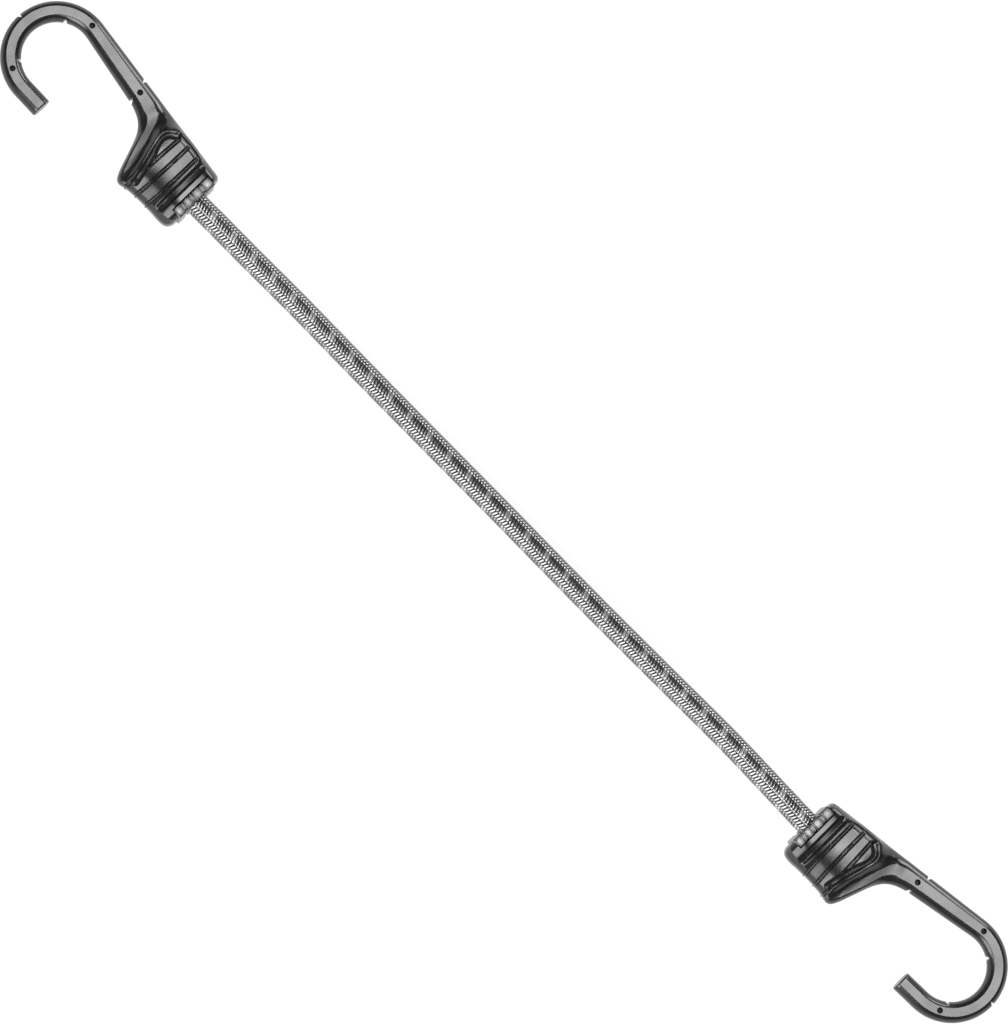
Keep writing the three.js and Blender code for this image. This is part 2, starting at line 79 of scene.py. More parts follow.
# The cord's line
# An 8 mm elastic cord, 319 mm from end to end. It leaves each hook level, comes down by its own
# weight and lies on the surface between them. The route is in metres, with y from the line
# through both mouths.
CORD_DIAMETER = 8 * MM
ROUTE = [
    (-0.1592, 0, 0.0085), (-0.150, 0, 0.0085), (-0.1417, 0, 0.0085), (-0.133, 0.0001, 0.0085),
    (-0.124, 0.00015, 0.0082), (-0.114, 0.0003, 0.0073), (-0.103, 0.0006, 0.006),
    (-0.092, 0.0008, 0.0049), (-0.080, 0.0008, 0.00425), (-0.066, 0.00075, 0.00405),
    (-0.045, 0.0007, 0.00405), (-0.022, 0.00075, 0.00405), (0, 0.0008, 0.00405),
    (0.022, 0.0007, 0.00405), (0.045, 0.0007, 0.00405), (0.066, 0.0009, 0.00405),
    (0.080, 0.00105, 0.00425), (0.092, 0.00115, 0.0049), (0.103, 0.0011, 0.006),
    (0.114, 0.0008, 0.0073), (0.124, 0.00045, 0.0082), (0.133, 0.0002, 0.0085),
    (0.1417, 0, 0.0085), (0.150, 0, 0.0085), (0.1592, 0, 0.0085),
]
LINE_POINTS = 4001
MOUTH_REACH = 141.65 * MM
cover_low, cover_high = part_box("braided_cover")
cord_y = (cover_low[1] + cover_high[1]) / 2


def curve_through(knots, values, at):
    """A smooth curve through the values at the knots, read at other places."""
    knots = np.asarray(knots, float)
    values = np.asarray(values, float)
    at = np.asarray(at, float)
    slopes = np.gradient(values, knots, axis=0)
    low = np.clip(np.searchsorted(knots, at) - 1, 0, len(knots) - 2)
    step = knots[low + 1] - knots[low]
    u = (at - knots[low]) / step
    if values.ndim == 2:
        step = step[:, None]
        u = u[:, None]
    start, end = values[low], values[low + 1]
    rise = (start * (1 + 2 * u) + slopes[low] * step * u) * (1 - u) ** 2
    return rise + (end * (3 - 2 * u) - slopes[low + 1] * step * (1 - u)) * u ** 2


class CordLine:
    """The cord's centre line, read by the length along it from its middle."""

    def __init__(self):
        x = np.linspace(ROUTE[0][0], ROUTE[-1][0], LINE_POINTS)
        knots = np.array(ROUTE)
        y, z = curve_through(knots[:, 0], knots[:, 1:], x).T
        steps = np.linalg.norm(np.diff([x, y, z], axis=1), axis=0)
        self.along = np.concatenate([[0], np.cumsum(steps)])
        self.length = self.along[-1]
        self.along = self.along - self.length / 2
        self.x, self.y, self.z = x, cord_y + y, z
        self.slope = np.arctan(np.gradient(z, x))

    def place(self, along, angle, radius):
        """Points at a radius round the line. Angle 0 is towards +Y, and a quarter turn on top."""
        x, y, z = (np.interp(along, self.along, values) for values in (self.x, self.y, self.z))
        slope = np.interp(along, self.along, self.slope)
        rise = radius * np.sin(angle)
        y = y + radius * np.cos(angle)
        return np.stack([x - rise * np.sin(slope), y, z + rise * np.cos(slope)], axis=-1)


cord_line = CordLine()

# The braided cover
# Sixteen flat carriers of glossy charcoal polyester yarn, eight each way round, plaited over two
# and under two. Two neighbours in one of the sets are white and make the tracer. A tracer mark's
# place and angle, and the angle of a column of floats, are read from the photograph.
CARRIERS = 8
BRAID_PITCH = 9.06 * MM
YARN_WIDTH = 1.04 * MM
YARN_THICKNESS = 0.36 * MM
YARN_WAVE = 0.17 * MM
YARN_FLATNESS = 2.4
YARN_STRAIGHTNESS = 0.05 * MM
STEPS_PER_CROSSING = 4
TRACER_X = 0.43 * MM
TRACER_ANGLE = math.radians(56)
FLOATS_PER_TURN = CARRIERS / 2
COLUMN_ANGLE = math.radians(81)
TRACER_CARRIERS = (0, 7)
YARN_SECTION = [(-0.5, -0.1), (-0.4, 0.26), (-0.2, 0.42), (0.2, 0.42), (0.4, 0.26), (0.5, -0.1)]
FILAMENT_WAVINESS = 1.2
FILAMENT_HEIGHT = 0.05 * MM
YARN_FILAMENTS = {"Filaments": 30.0, "Depth": 0.3}
YARN_SHADE_ENDS = (0.3, 0.7)
YARN_IOR = 1.9

turn_rate = 2 * math.pi / BRAID_PITCH
first_carrier = TRACER_ANGLE - turn_rate * TRACER_X
first_left_hand_carrier = 2 * COLUMN_ANGLE + math.pi / CARRIERS - first_carrier


def carrier(number, way):
    """One carrier's yarn as a tube, wound right-handed (way 1) or left-handed (way -1)."""
    turns = cord_line.length / BRAID_PITCH
    count = int(turns * 2 * CARRIERS * STEPS_PER_CROSSING)
    along = np.linspace(-cord_line.length / 2, cord_line.length / 2, count)
    start = first_carrier if way == 1 else first_left_hand_carrier
    angle = start + 2 * math.pi * number / CARRIERS + way * turn_rate * along
    middle = CORD_DIAMETER / 2 - YARN_WAVE - YARN_THICKNESS / 2
    phase = FLOATS_PER_TURN * (angle - COLUMN_ANGLE)
    wave = np.tanh(YARN_FLATNESS * np.cos(phase)) / math.tanh(YARN_FLATNESS)
    radius = middle + way * YARN_WAVE * wave + YARN_STRAIGHTNESS * np.sin(phase) ** 2
    line = cord_line.place(along, angle, radius)
    outward = cord_line.place(along, angle, radius + MM) - line
    outward /= np.linalg.norm(outward, axis=1)[:, None]
    heading = np.gradient(line, axis=0)
    across = np.cross(heading, outward)
    across /= np.linalg.norm(across, axis=1)[:, None]
    outward = np.cross(across, heading)
    outward /= np.linalg.norm(outward, axis=1)[:, None]
    rings = [
        line + across * (side * YARN_WIDTH) + outward * (up * YARN_THICKNESS)
        for side, up in YARN_SECTION
    ]
    return np.stack(rings, axis=1), along * turn_rate * CORD_DIAMETER / 2 / MM


def node_group(name, numbers_in, numbers_out):
    """An empty shader node group from numbers to numbers and a normal, with its two end nodes."""
    group = bpy.data.node_groups.new(name, "ShaderNodeTree")
    for socket in numbers_in:
        group.interface.new_socket(socket, in_out="INPUT", socket_type="NodeSocketFloat")
    for socket in numbers_out:
        group.interface.new_socket(socket, in_out="OUTPUT", socket_type="NodeSocketFloat")
    group.interface.new_socket("Normal", in_out="OUTPUT", socket_type="NodeSocketVector")
    return group, group.nodes.new("NodeGroupInput"), group.nodes.new("NodeGroupOutput")


def filament_group():
    """Fine filaments that run along a yarn: their shade and their relief."""
    group, given, result = node_group("yarn_filaments", ["Filaments", "Depth"], ["Shade"])
    nodes, links = group.nodes, group.links
    uv = nodes.new("ShaderNodeUVMap")
    uv.uv_map = "UVMap"
    stretch = nodes.new("ShaderNodeCombineXYZ")
    stretch.inputs[0].default_value = FILAMENT_WAVINESS
    scaled = nodes.new("ShaderNodeVectorMath")
    scaled.operation = "MULTIPLY"
    noise = nodes.new("ShaderNodeTexNoise")
    noise.inputs["Scale"].default_value = 1.0
    bump = nodes.new("ShaderNodeBump")
    bump.inputs["Distance"].default_value = FILAMENT_HEIGHT
    links.new(given.outputs["Filaments"], stretch.inputs[1])
    links.new(uv.outputs["UV"], scaled.inputs[0])
    links.new(stretch.outputs[0], scaled.inputs[1])
    links.new(scaled.outputs[0], noise.inputs["Vector"])
    links.new(noise.outputs["Fac"], bump.inputs["Height"])
    links.new(given.outputs["Depth"], bump.inputs["Strength"])
    links.new(noise.outputs["Fac"], result.inputs["Shade"])
    links.new(bump.outputs["Normal"], result.inputs["Normal"])
    return group


filaments = filament_group()


def new_material(name, colour, roughness, metallic=0.0):
    """A material with its Principled shader's plain values set."""
    material = bpy.data.materials.new(name)
    material.use_nodes = True
    shader = material.node_tree.nodes["Principled BSDF"]
    shader.inputs["Base Color"].default_value = (*colour, 1)
    shader.inputs["Roughness"].default_value = roughness
    shader.inputs["Metallic"].default_value = metallic
    return material, material.node_tree, shader


def lay_pattern(tree, shader, pattern, settings, dark, light, ends):
    """Gives a material a pattern's relief and, between the ends of its shade, two colours."""
    laid = tree.nodes.new("ShaderNodeGroup")
    laid.node_tree = pattern
    for socket, value in settings.items():
        laid.inputs[socket].default_value = value
    colours = tree.nodes.new("ShaderNodeValToRGB")
    for element, position, colour in zip(colours.color_ramp.elements, ends, (dark, light)):
        element.position = position
        element.color = (*colour, 1)
    tree.links.new(laid.outputs["Shade"], colours.inputs["Fac"])
    tree.links.new(colours.outputs["Color"], shader.inputs["Base Color"])
    tree.links.new(laid.outputs["Normal"], shader.inputs["Normal"])
    return laid


def yarn_material(name, dark, light, roughness):
    """Glossy yarn whose filaments vary between two colours."""
    material, tree, shader = new_material(name, light, roughness)
    lay_pattern(tree, shader, filaments, YARN_FILAMENTS, dark, light, YARN_SHADE_ENDS)
    shader.inputs["IOR"].default_value = YARN_IOR
    shader.inputs["Specular IOR Level"].default_value = 1.0
    return material


charcoal_yarn = yarn_material("charcoal_yarn", (0.020, 0.021, 0.023), (0.055, 0.058, 0.062), 0.28)
white_yarn = yarn_material("white_yarn", (0.21, 0.215, 0.22), (0.34, 0.345, 0.35), 0.3)


def tube_mesh(name, tubes, materials, material_of_tube):
    """One mesh of closed tubes, each given by its rings, (rings, sides, 3), and each ring's u."""
    vertices, faces, uvs, material_of_face = [], [], [], []
    first = 0
    for (rings, along), material in zip(tubes, material_of_tube):
        count, sides, _ = rings.shape
        vertices.append(rings.reshape(-1, 3))
        ring = np.arange(count - 1)[:, None] * sides
        side = np.arange(sides)[None, :]
        beside = (side + 1) % sides
        quads = np.stack([side, beside, sides + beside, sides + side], axis=-1) + ring[..., None]
        faces += (quads.reshape(-1, 4) + first).tolist()
        faces.append((first + np.arange(sides)[::-1]).tolist())
        faces.append((first + (count - 1) * sides + np.arange(sides)).tolist())
        near, far = along[:-1, None], along[1:, None]
        u = np.broadcast_to(np.stack([near, near, far, far], axis=-1), quads.shape)
        v = np.stack([side, side + 1, side + 1, side], axis=-1) / sides
        v = np.broadcast_to(v, quads.shape)
        uvs += [np.stack([u, v], axis=-1).reshape(-1, 2), np.zeros((2 * sides, 2))]
        material_of_face += [material] * ((count - 1) * sides + 2)
        first += count * sides
    mesh = bpy.data.meshes.new(name)
    mesh.from_pydata(np.concatenate(vertices).tolist(), [], faces)
    mesh.uv_layers.new(name="UVMap").data.foreach_set("uv", np.concatenate(uvs).ravel())
    for material in materials:
        mesh.materials.append(material)
    mesh.polygons.foreach_set("material_index", material_of_face)
    mesh.shade_smooth()
    mesh.update()
    piece = bpy.data.objects.new(name, mesh)
    bpy.context.collection.objects.link(piece)
    return piece


def cover_piece(name, way, numbers):
    """Some of the carriers of one set as a piece."""
    yarns = [carrier(number, way) for number in numbers]
    colours = [int(way == 1 and number in TRACER_CARRIERS) for number in numbers]
    return tube_mesh(name, yarns, [charcoal_yarn, white_yarn], colours)


tracer_yarns = cover_piece("tracer_and_neighbour_yarns", 1, (6, 7, 0, 1))
cover_pieces = [
    tracer_yarns,
    cover_piece("right_hand_yarns", 1, (2, 3, 4, 5)),
    cover_piece("left_hand_yarns_upper", -1, (0, 1, 2, 3)),
    cover_piece("left_hand_yarns_lower", -1, (4, 5, 6, 7)),
]

# The rubber strands
# The elastic core: nineteen round strands of natural latex, lying straight in rings of one, six
# and twelve inside the cover.
STRAND_DIAMETER = 1.06 * MM
STRAND_RING_PITCH = 1.2 * MM
STRAND_RINGS = (1, 6, 12)
STRAND_SIDES = 8
STRAND_STEPS = 90
LATEX_STREAKS = {"Filaments": 4.0, "Depth": 0.2}


def strand(ring, number, count):
    """One strand as a tube."""
    along = np.linspace(-cord_line.length / 2, cord_line.length / 2, STRAND_STEPS)
    angle = 2 * math.pi * (number + 0.5) / count
    reach = ring * STRAND_RING_PITCH
    rings = []
    for side in range(STRAND_SIDES):
        turn = 2 * math.pi * side / STRAND_SIDES
        sideways = reach * math.cos(angle) + STRAND_DIAMETER / 2 * math.cos(turn)
        upwards = reach * math.sin(angle) + STRAND_DIAMETER / 2 * math.sin(turn)
        turned = math.atan2(upwards, sideways)
        rings.append(cord_line.place(along, turned, math.hypot(sideways, upwards)))
    return np.stack(rings, axis=1), along / MM


latex, latex_tree, latex_shader = new_material("natural_latex", (0.34, 0.27, 0.18), 0.6)
lay_pattern(latex_tree, latex_shader, filaments, LATEX_STREAKS, (0.24, 0.18, 0.11),
            (0.42, 0.34, 0.23), (0, 1))

strands = [
    strand(ring, number, count)
    for ring, count in enumerate(STRAND_RINGS) for number in range(count)
]
rubber_strands = tube_mesh("rubber_strands", strands, [latex], [0] * len(strands))

strand_nodes = [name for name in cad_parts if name.startswith("rubber_strand_")]
for piece in [*cover_pieces, rubber_strands]:
    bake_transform(piece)
for piece in cover_pieces:
    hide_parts("braided_cover")
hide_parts(*strand_nodes)

# Hook moulding
# One black nylon moulding, made twice: a round-nosed hook on a straight arm, a shoulder that the
# arm's flat land twists over, and a ribbed grip with a lip at its mouth. Both faces are alike.

# Lengths in this section are in millimetres in the hook's own frame: x from the mouth towards
# the hook's crown, y towards the arm's straight back and z from the moulding's mid-plane.
ARC_CENTRE = np.array([64.85, 1.05])
CROWN_RADIUS = 18.5
SEAT_RADIUS = 11.6
ARM_HALF = 3.5
TIP_LEG = 8.9
TIP_ROUND = 0.45
STEM_FOOT_X = 38.0
STEM_FOOT_WIDTH = 8.6
TIP_FLARE = math.radians(1.5)
BACK_LEAN = math.radians(7.71)
THROAT_LEAN = math.radians(10.76)
HALF_THICKNESS = 8.5


def on_arc(radius, angle):
    """A point on a circle round the hook's centre."""
    return ARC_CENTRE + radius * np.array([math.cos(angle), math.sin(angle)])


tip_angle = TIP_FLARE - math.pi / 2
back_angle = math.pi / 2 + BACK_LEAN
throat_angle = math.pi / 2 + THROAT_LEAN
back_tangent = on_arc(CROWN_RADIUS, back_angle)
throat_tangent = on_arc(SEAT_RADIUS, throat_angle)


def back_edge(x):
    """The y of the straight back at a distance from the mouth."""
    return back_tangent[1] + (x - back_tangent[0]) * math.tan(BACK_LEAN)


throat_foot = np.array([
    STEM_FOOT_X,
    throat_tangent[1] + (STEM_FOOT_X - throat_tangent[0]) * math.tan(THROAT_LEAN),
])
back_foot_x = STEM_FOOT_X - STEM_FOOT_WIDTH * math.sin(THROAT_LEAN)
back_foot = np.array([back_foot_x, back_edge(back_foot_x)])

# Half a section runs from the throat edge up a rounded flank to the land, over the land to its
# crease, and down the back. These are its numbers of points and the arm's shares of the width.
FLANK_POINTS = 11
LAND_POINTS = 11
BACK_POINTS = 112
LAND_SHARES = (0.27, 0.73)
FLANK_ANGLE = math.radians(26.8)
BACK_KEYS = 8
CURVE_FINENESS = 12

# The stem's last sections before the body: the throat edge (x, y), the back edge's x, and what
# they are thicker than the arm, each side
STEM_END_SECTIONS = [((35.6, 7.05), 33.6, 0.0), ((33.2, 6.0), 31.2, 0.04)]

# The body's sections from the stem to the mouth: the throat edge (x, y), the land's throat side
# (y, height), its crease (y, height), six places over the back (y, height) and the back edge (x, y)
BODY_SECTIONS = [
    ((31.3, 4.7), (7.9, 3.6), (11.7, 3.7), (12.3, 3.5), (12.9, 3.15), (13.5, 2.65), (14.0, 2.1),
     (14.4, 1.45), (14.75, 0.7), (29.2, 14.89)),
    ((29.8, 3.0), (6.35, 3.65), (10.7, 3.75), (11.5, 3.8), (12.3, 3.5), (13.0, 2.95), (13.6, 2.3),
     (14.15, 1.5), (14.5, 0.75), (27.6, 14.67)),
    ((28.6, 0.9), (4.2, 3.75), (9.35, 3.85), (10.5, 4.1), (11.6, 4.0), (12.5, 3.5), (13.3, 2.65),
     (13.95, 1.7), (14.35, 0.8), (26.3, 14.5)),
    ((27.6, -1.6), (1.1, 3.85), (7.0, 3.95), (8.6, 4.5), (10.2, 4.75), (11.6, 4.2), (12.8, 3.1),
     (13.7, 1.95), (14.2, 0.9), (25.2, 14.35)),
    ((26.6, -4.4), (-1.8, 3.95), (4.5, 4.05), (6.6, 5.0), (8.8, 5.6), (10.7, 5.1), (12.2, 3.8),
     (13.4, 2.4), (14.0, 1.1), (24.2, 14.21)),
    ((25.5, -7.5), (-4.7, 4.0), (1.65, 4.15), (4.4, 5.55), (7.2, 6.6), (9.6, 6.3), (11.6, 4.9),
     (13.1, 3.1), (13.85, 1.5), (23.2, 14.08)),
    ((24.4, -10.5), (-7.6, 3.98), (-1.6, 4.25), (2.2, 6.2), (5.8, 7.4), (8.8, 7.2), (11.2, 6.0),
     (12.9, 4.0), (13.7, 2.0), (22.2, 13.94)),
    ((23.2, -12.7), (-10.4, 3.9), (-4.4, 4.35), (0.0, 6.8), (4.6, 8.0), (8.4, 7.75), (11.2, 6.9),
     (12.8, 4.8), (13.55, 2.5), (21.2, 13.8)),
    ((21.8, -13.6), (-12.3, 3.5), (-8.0, 4.5), (-3.0, 7.0), (3.0, 8.25), (8.2, 8.0), (11.4, 7.4),
     (12.7, 5.2), (13.4, 2.7), (20.1, 13.66)),
    ((20.2, -13.4), (-12.6, 3.4), (-10.8, 4.7), (-5.5, 7.2), (1.5, 8.15), (8.2, 8.02), (11.6, 7.55),
     (12.6, 5.2), (13.25, 2.7), (18.8, 13.48)),
    ((18.0, -12.95), (-12.5, 2.8), (-11.2, 4.9), (-6.5, 7.15), (0.5, 8.0), (8.2, 7.96),
     (11.7, 7.52), (12.5, 5.2), (13.05, 2.7), (17.2, 13.26)),
    ((15.5, -12.75), (-12.35, 2.7), (-11.2, 4.6), (-6.8, 7.0), (0.3, 8.0), (8.0, 7.94), (11.6, 7.5),
     (12.3, 5.2), (12.8, 2.7), (15.0, 12.97)),
    ((12.5, -12.6), (-12.2, 2.7), (-11.0, 4.7), (-6.8, 7.05), (0.2, 8.0), (7.8, 7.94), (11.3, 7.5),
     (11.95, 5.2), (12.45, 2.7), (12.3, 12.6)),
    ((9.5, -12.65), (-12.2, 2.8), (-11.0, 4.8), (-6.8, 7.15), (0.0, 8.05), (7.6, 7.98),
     (10.8, 7.48), (11.5, 5.2), (12.05, 2.7), (9.4, 12.2)),
    ((7.0, -12.7), (-12.25, 3.0), (-10.9, 5.3), (-6.8, 7.5), (-0.3, 8.3), (6.9, 8.0), (9.9, 7.2),
     (11.0, 5.2), (11.7, 2.7), (7.0, 11.88)),
    ((5.0, -12.85), (-12.35, 3.1), (-10.9, 5.7), (-6.6, 7.95), (-0.5, 8.5), (5.8, 8.45), (8.8, 7.8),
     (10.4, 5.8), (11.35, 3.0), (5.0, 11.6)),
    ((3.0, -12.8), (-12.3, 3.1), (-10.8, 5.8), (-6.5, 8.05), (-0.5, 8.5), (5.5, 8.5), (8.5, 7.9),
     (10.2, 5.8), (11.1, 3.0), (3.0, 11.33)),
    ((1.6, -12.5), (-12.0, 3.1), (-10.6, 5.7), (-6.5, 7.9), (-0.5, 8.4), (5.5, 8.4), (8.4, 7.8),
     (10.0, 5.7), (10.9, 3.0), (1.6, 11.14)),
    ((0.6, -11.8), (-11.3, 3.0), (-10.0, 5.3), (-6.2, 7.5), (-0.5, 8.1), (5.4, 8.1), (8.2, 7.4),
     (9.7, 5.4), (10.6, 2.9), (0.6, 10.85)),
    ((0.0, -10.8), (-10.4, 2.8), (-9.2, 4.9), (-5.9, 7.0), (-0.5, 7.6), (5.2, 7.6), (7.9, 6.9),
     (9.2, 5.1), (10.0, 2.8), (0.0, 10.3)),
]


def flank_shape(count):
    """A rounded flank from its foot: the share of its run and of its height at each point."""
    turn = np.linspace(math.pi / 2, FLANK_ANGLE, count)
    low = math.sin(FLANK_ANGLE)
    return (1 - np.sin(turn)) / (1 - low), np.cos(turn) / math.cos(FLANK_ANGLE)


def section_keys(section):
    """A body section's key points, (10, 3), with x shared out on the line from throat to back."""
    throat, *over, back = section
    places = [(throat[1], 0), *over, (back[1], 0)]
    share = [(y - throat[1]) / (back[1] - throat[1]) for y, _ in places]
    return np.array([
        (throat[0] + (back[0] - throat[0]) * part, y, height)
        for part, (y, height) in zip(share, places)
    ])


def arm_keys(throat, back, half):
    """The same key points for a section of the arm, of the half thickness given."""
    near, far = (throat + (back - throat) * share for share in LAND_SHARES)
    run, rise = flank_shape(BACK_KEYS)
    down = [np.append(back + (far - back) * r, half * h) for r, h in zip(run[::-1], rise[::-1])]
    return np.array([np.append(throat, 0), np.append(near, half), *down])


def smooth_points(points, count):
    """A smooth curve through points, evenly spaced along its length."""
    index = np.arange(len(points))
    fine = curve_through(index, points, np.linspace(0, index[-1], CURVE_FINENESS * len(points)))
    along = np.concatenate([[0], np.cumsum(np.linalg.norm(np.diff(fine, axis=0), axis=1))])
    even = np.linspace(0, along[-1], count)
    return np.stack([np.interp(even, along, fine[:, axis]) for axis in range(3)], axis=-1)


def half_section(keys):
    """The points of half a section, from the throat edge to the back edge."""
    throat, land, crease = keys[:3]
    run, rise = flank_shape(FLANK_POINTS)
    flank = throat + (land - throat) * run[:, None]
    flank[:, 2] = land[2] * rise
    top = np.linspace(land, crease, LAND_POINTS)
    return np.concatenate([flank, top[1:], smooth_points(keys[2:], BACK_POINTS)[1:]])


# The grip's relief: three ribs between fine grooves, two moats, and a raised rim at the back. Each
# has its line (x, y), half its width, its height or depth, and the width of its walls. The
# grooves follow the ribs' lines on both sides, and the moats fade out towards the throat edge.
RIBS = [
    [(17.6, 9.5), (17.9, 2.5), (18.2, -4.0), (18.6, -9.0), (19.1, -14.0)],
    [(13.7, 9.6), (13.75, 2.3), (14.0, -5.5), (14.35, -9.5), (15.0, -14.0)],
    [(9.2, 8.9), (9.2, 1.9), (9.35, -4.5), (9.65, -8.8), (10.4, -14.0)],
]
RIB_HALF = 0.3
RIB_HEIGHT = 0.3
RIB_WALL = 0.32
GROOVE_AT = 0.45
GROOVE_HALF = 0.14
GROOVE_DEPTH = 0.28
UPPER_MOAT = [
    (18.9, 10.1), (20.9, 8.5), (21.75, 6.3), (21.4, 3.6), (20.1, -0.3), (19.15, -3.7), (18.4, -7.0),
    (17.8, -10.0),
]
UPPER_MOAT_HALF = 0.95
LOWER_MOAT = [(6.05, 7.9), (6.05, 0.0), (6.1, -10.2)]
LOWER_MOAT_HALF = 1.2
MOAT_DEPTH = 1.1
MOAT_WALL = 1.05
MOAT_END_Y = -12
MOAT_END_FADE = 3
RIM = [(18.0, 10.6), (14.9, 10.5), (10.5, 10.05), (7.9, 9.4)]
RIM_HALF = 1.05
RIM_HEIGHT = 0.28
LINE_FINENESS = 40


def distance_to(line, x, y):
    """The distance of points from a line of straight pieces, in plan."""
    nearest = np.full(x.shape, np.inf)
    for (x0, y0), (x1, y1) in zip(line[:-1], line[1:]):
        run, rise = x1 - x0, y1 - y0
        share = np.clip(((x - x0) * run + (y - y0) * rise) / (run ** 2 + rise ** 2), 0, 1)
        nearest = np.minimum(nearest, np.hypot(x - x0 - share * run, y - y0 - share * rise))
    return nearest


def step_down(distance, edge, width):
    """One inside the edge, nought outside it, with a smooth wall between."""
    share = np.clip((edge - distance) / width + 0.5, 0, 1)
    return share * share * (3 - 2 * share)


def smooth_line(line):
    """More points on a smooth curve through a line's points."""
    index = np.arange(len(line))
    return curve_through(index, line, np.linspace(0, index[-1], LINE_FINENESS))


def relief(x, y):
    """How far the surface stands proud at each place."""
    proud = RIM_HEIGHT * step_down(distance_to(RIM, x, y), RIM_HALF, RIB_WALL)
    for line in RIBS:
        away = distance_to(smooth_line(line), x, y)
        proud = proud + RIB_HEIGHT * step_down(away, RIB_HALF, RIB_WALL)
        proud -= GROOVE_DEPTH * step_down(np.abs(away - GROOVE_AT), GROOVE_HALF, RIB_WALL)
    fade = np.clip((y - MOAT_END_Y) / MOAT_END_FADE, 0, 1)
    for line, half in ((smooth_line(UPPER_MOAT), UPPER_MOAT_HALF), (LOWER_MOAT, LOWER_MOAT_HALF)):
        sunk = step_down(distance_to(line, x, y), half, MOAT_WALL) * fade
        proud = proud * (1 - sunk) - MOAT_DEPTH * sunk
    return proud


SEAM_GAP = 0.0001


def rolled_sheet(name, rings):
    """A closed solid from a grid that is rolled into the rings given, with its ends filled."""
    count, sides, _ = rings.shape
    bpy.ops.object.select_all(action="DESELECT")
    bpy.ops.mesh.primitive_grid_add(x_subdivisions=sides, y_subdivisions=count - 1, size=1)
    sheet = bpy.context.object
    sheet.name = name
    closed = np.concatenate([rings, rings[:, :1]], axis=1)
    sheet.data.vertices.foreach_set("co", closed.ravel())
    bpy.ops.object.mode_set(mode="EDIT")
    bpy.ops.mesh.select_all(action="SELECT")
    bpy.ops.mesh.remove_doubles(threshold=SEAM_GAP)
    bpy.ops.mesh.select_all(action="DESELECT")
    bpy.ops.mesh.select_non_manifold(extend=False, use_wire=False, use_multi_face=False)
    bpy.ops.mesh.edge_face_add()
    bpy.ops.mesh.select_all(action="SELECT")
    bpy.ops.mesh.normals_make_consistent(inside=False)
    bpy.ops.object.mode_set(mode="OBJECT")
    return sheet


# The rings along the hook: how they round the tip off, how far those of the leg keep from its tip
# and from the arc, the numbers on leg, arc and stem, and the body's pitch before and on the grip.
TIP_ROUND_TURNS = np.radians((0, 30, 60, 90))
LEG_MARGINS = (1.2, 0.8)
LEG_RINGS = 6
ARC_RINGS = 62
STEM_RINGS = 20
COARSE_PITCH = 0.4
FINE_PITCH = 0.12
FINE_FROM = 12.6
LEAST_LENGTH = 1e-9


def hook_keys():
    """The key points of every ring from the hook's tip to the mouth."""
    rings = []
    leg = np.array([math.cos(TIP_FLARE), math.sin(TIP_FLARE)])
    square = np.array([-leg[1], leg[0]])
    inner, outer = on_arc(SEAT_RADIUS, tip_angle), on_arc(CROWN_RADIUS, tip_angle)
    for turn in TIP_ROUND_TURNS:
        tuck = TIP_ROUND * (1 - math.sin(turn))
        to_go = TIP_LEG - TIP_ROUND * (1 - math.cos(turn))
        rings.append(arm_keys(
            inner - leg * to_go - square * tuck,
            outer - leg * to_go + square * tuck, ARM_HALF - tuck))
    for to_go in np.linspace(TIP_LEG - LEG_MARGINS[0], LEG_MARGINS[1], LEG_RINGS):
        rings.append(arm_keys(inner - leg * to_go, outer - leg * to_go, ARM_HALF))
    for share in np.linspace(0, 1, ARC_RINGS):
        rings.append(arm_keys(
            on_arc(SEAT_RADIUS, tip_angle + (throat_angle - tip_angle) * share),
            on_arc(CROWN_RADIUS, tip_angle + (back_angle - tip_angle) * share), ARM_HALF))
    for share in np.linspace(0, 1, STEM_RINGS)[1:-1]:
        rings.append(arm_keys(
            throat_tangent + (throat_foot - throat_tangent) * share,
            back_tangent + (back_foot - back_tangent) * share, ARM_HALF))
    stations = [arm_keys(throat_foot, back_foot, ARM_HALF)]
    for throat, back_x, thicker in STEM_END_SECTIONS:
        back = np.array([back_x, back_edge(back_x)])
        stations.append(arm_keys(np.array(throat), back, ARM_HALF + thicker))
    stations = np.array(stations + [section_keys(section) for section in BODY_SECTIONS])
    knots = stations[0, -1, 0] - stations[:, -1, 0]
    coarse = np.arange(0, FINE_FROM, COARSE_PITCH)
    fine = np.arange(FINE_FROM, knots[-1], FINE_PITCH)
    at = np.concatenate([coarse, fine, [knots[-1]]])
    flat = curve_through(knots, stations.reshape(len(stations), -1), at)
    return rings + list(flat.reshape(len(at), -1, 3))


def hook_sheet():
    """The moulding's whole skin in one piece, with the relief raised and sunk in its surface."""
    half = np.array([half_section(keys) for keys in hook_keys()])
    rings = np.concatenate([half, half[:, -2:0:-1] * np.array([1, 1, -1])], axis=1)
    along = np.gradient(rings, axis=0)
    wrapped = np.concatenate([rings[:, -1:], rings, rings[:, :1]], axis=1)
    around = wrapped[:, 2:] - wrapped[:, :-2]
    normal = np.cross(around, along)
    normal /= np.maximum(np.linalg.norm(normal, axis=-1, keepdims=True), LEAST_LENGTH)
    if np.sum(normal * (rings - rings.mean(axis=1, keepdims=True))) < 0:
        normal = -normal
    rings = rings + normal * relief(rings[..., 0], rings[..., 1])[..., None]
    return rolled_sheet("hook", rings)


def pick(piece):
    """Makes a piece the selected and active one."""
    bpy.ops.object.select_all(action="DESELECT")
    piece.select_set(True)
    bpy.context.view_layer.objects.active = piece


